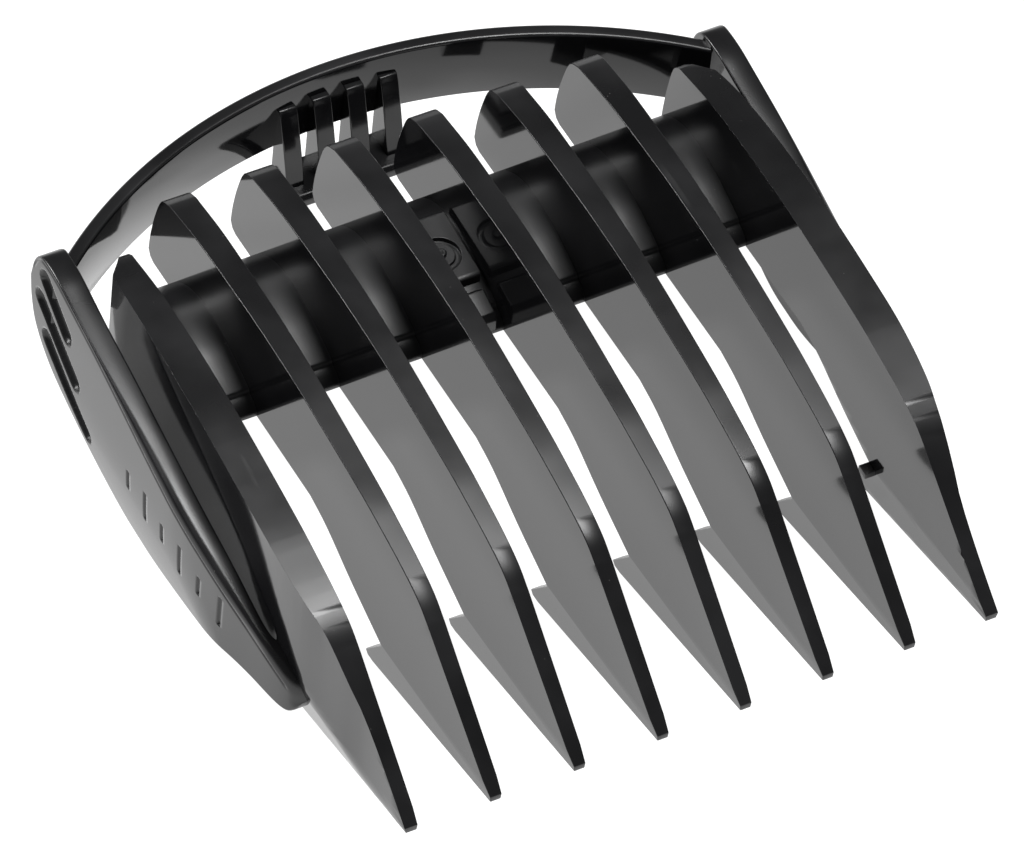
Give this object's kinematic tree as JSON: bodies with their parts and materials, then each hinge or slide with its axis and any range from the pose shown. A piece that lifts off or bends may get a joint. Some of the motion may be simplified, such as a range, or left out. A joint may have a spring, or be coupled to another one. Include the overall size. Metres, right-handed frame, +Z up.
{
  "type": "hair clipper guide comb",
  "caption": "Clip-on guide comb for a hair clipper: long parallel teeth on a crossbar, two flexing side arms with grip slots, and a rear bow with a ribbed catch.",
  "frame": {"origin": "on the ground the comb rests on, under the centre of its overall length and width", "axes": "+Z up, away from the skin side; teeth point to -Y and the catch is at +Y; +X to the right seen from behind the teeth's tips looking along +Y"},
  "size_m": [0.0504, 0.0532, 0.0149],
  "materials": {
    "comb_plastic": "glossy black moulding"
  },
  "bodies": {
    "comb": {"tooth_1": "comb_plastic", "tooth_2": "comb_plastic", "tooth_3": "comb_plastic", "tooth_4": "comb_plastic", "tooth_5": "comb_plastic", "tooth_6": "comb_plastic", "tooth_7": "comb_plastic", "tooth_8": "comb_plastic", "crossbar": "comb_plastic", "gate_pad": "comb_plastic", "gate_nub": "comb_plastic", "front_block": "comb_plastic", "lug_left": "comb_plastic", "lug_right": "comb_plastic", "root_left": "comb_plastic", "root_right": "comb_plastic"},
    "left_arm": {"arm_left": "comb_plastic", "bow_root_left": "comb_plastic"},
    "left_bow": {"bow_left": "comb_plastic"},
    "catch": {"catch_band": "comb_plastic", "catch_ledge": "comb_plastic", "catch_rib_1": "comb_plastic", "catch_rib_2": "comb_plastic", "catch_rib_3": "comb_plastic", "catch_rib_4": "comb_plastic"},
    "right_bow": {"bow_right": "comb_plastic"},
    "right_arm": {"arm_right": "comb_plastic", "bow_root_right": "comb_plastic"}
  },
  "joints": [
    {"name": "left_squeeze", "type": "hinge", "parent": "comb", "child": "left_arm", "pos_m": [-0.02347, -0.0104, 0.004], "axis": [0, 0, -1], "range_deg": [0, 1.4], "stiffness_Nm_per_rad": 0.6},
    {"name": "right_squeeze", "type": "hinge", "parent": "comb", "child": "right_arm", "pos_m": [0.02347, -0.0104, 0.004], "axis": [0, 0, 1], "range_deg": [0, 1.4], "stiffness_Nm_per_rad": 0.6},
    {"name": "left_corner", "type": "hinge", "parent": "left_arm", "child": "left_bow", "pos_m": [-0.02227, 0.01852, 0.0102], "axis": [0, 0, 1], "range_deg": [0, 6.8], "stiffness_Nm_per_rad": 0.02},
    {"name": "catch_left", "type": "hinge", "parent": "left_bow", "child": "catch", "pos_m": [-0.00621, 0.02557, 0.0102], "axis": [0, 0, -1], "range_deg": [0, 5.5], "stiffness_Nm_per_rad": 0.02},
    {"name": "catch_right", "type": "hinge", "parent": "catch", "child": "right_bow", "pos_m": [0.00621, 0.02557, 0.0102], "axis": [0, 0, -1], "range_deg": [0, 5.5], "stiffness_Nm_per_rad": 0.02}
  ],
  "couplings": [
    {"joint": "right_squeeze", "follows": "left_squeeze", "ratio": 1},
    {"joint": "left_corner", "follows": "left_squeeze", "ratio": 4.776},
    {"joint": "catch_left", "follows": "left_squeeze", "ratio": 3.776},
    {"joint": "catch_right", "follows": "left_squeeze", "ratio": 3.776}
  ]
}
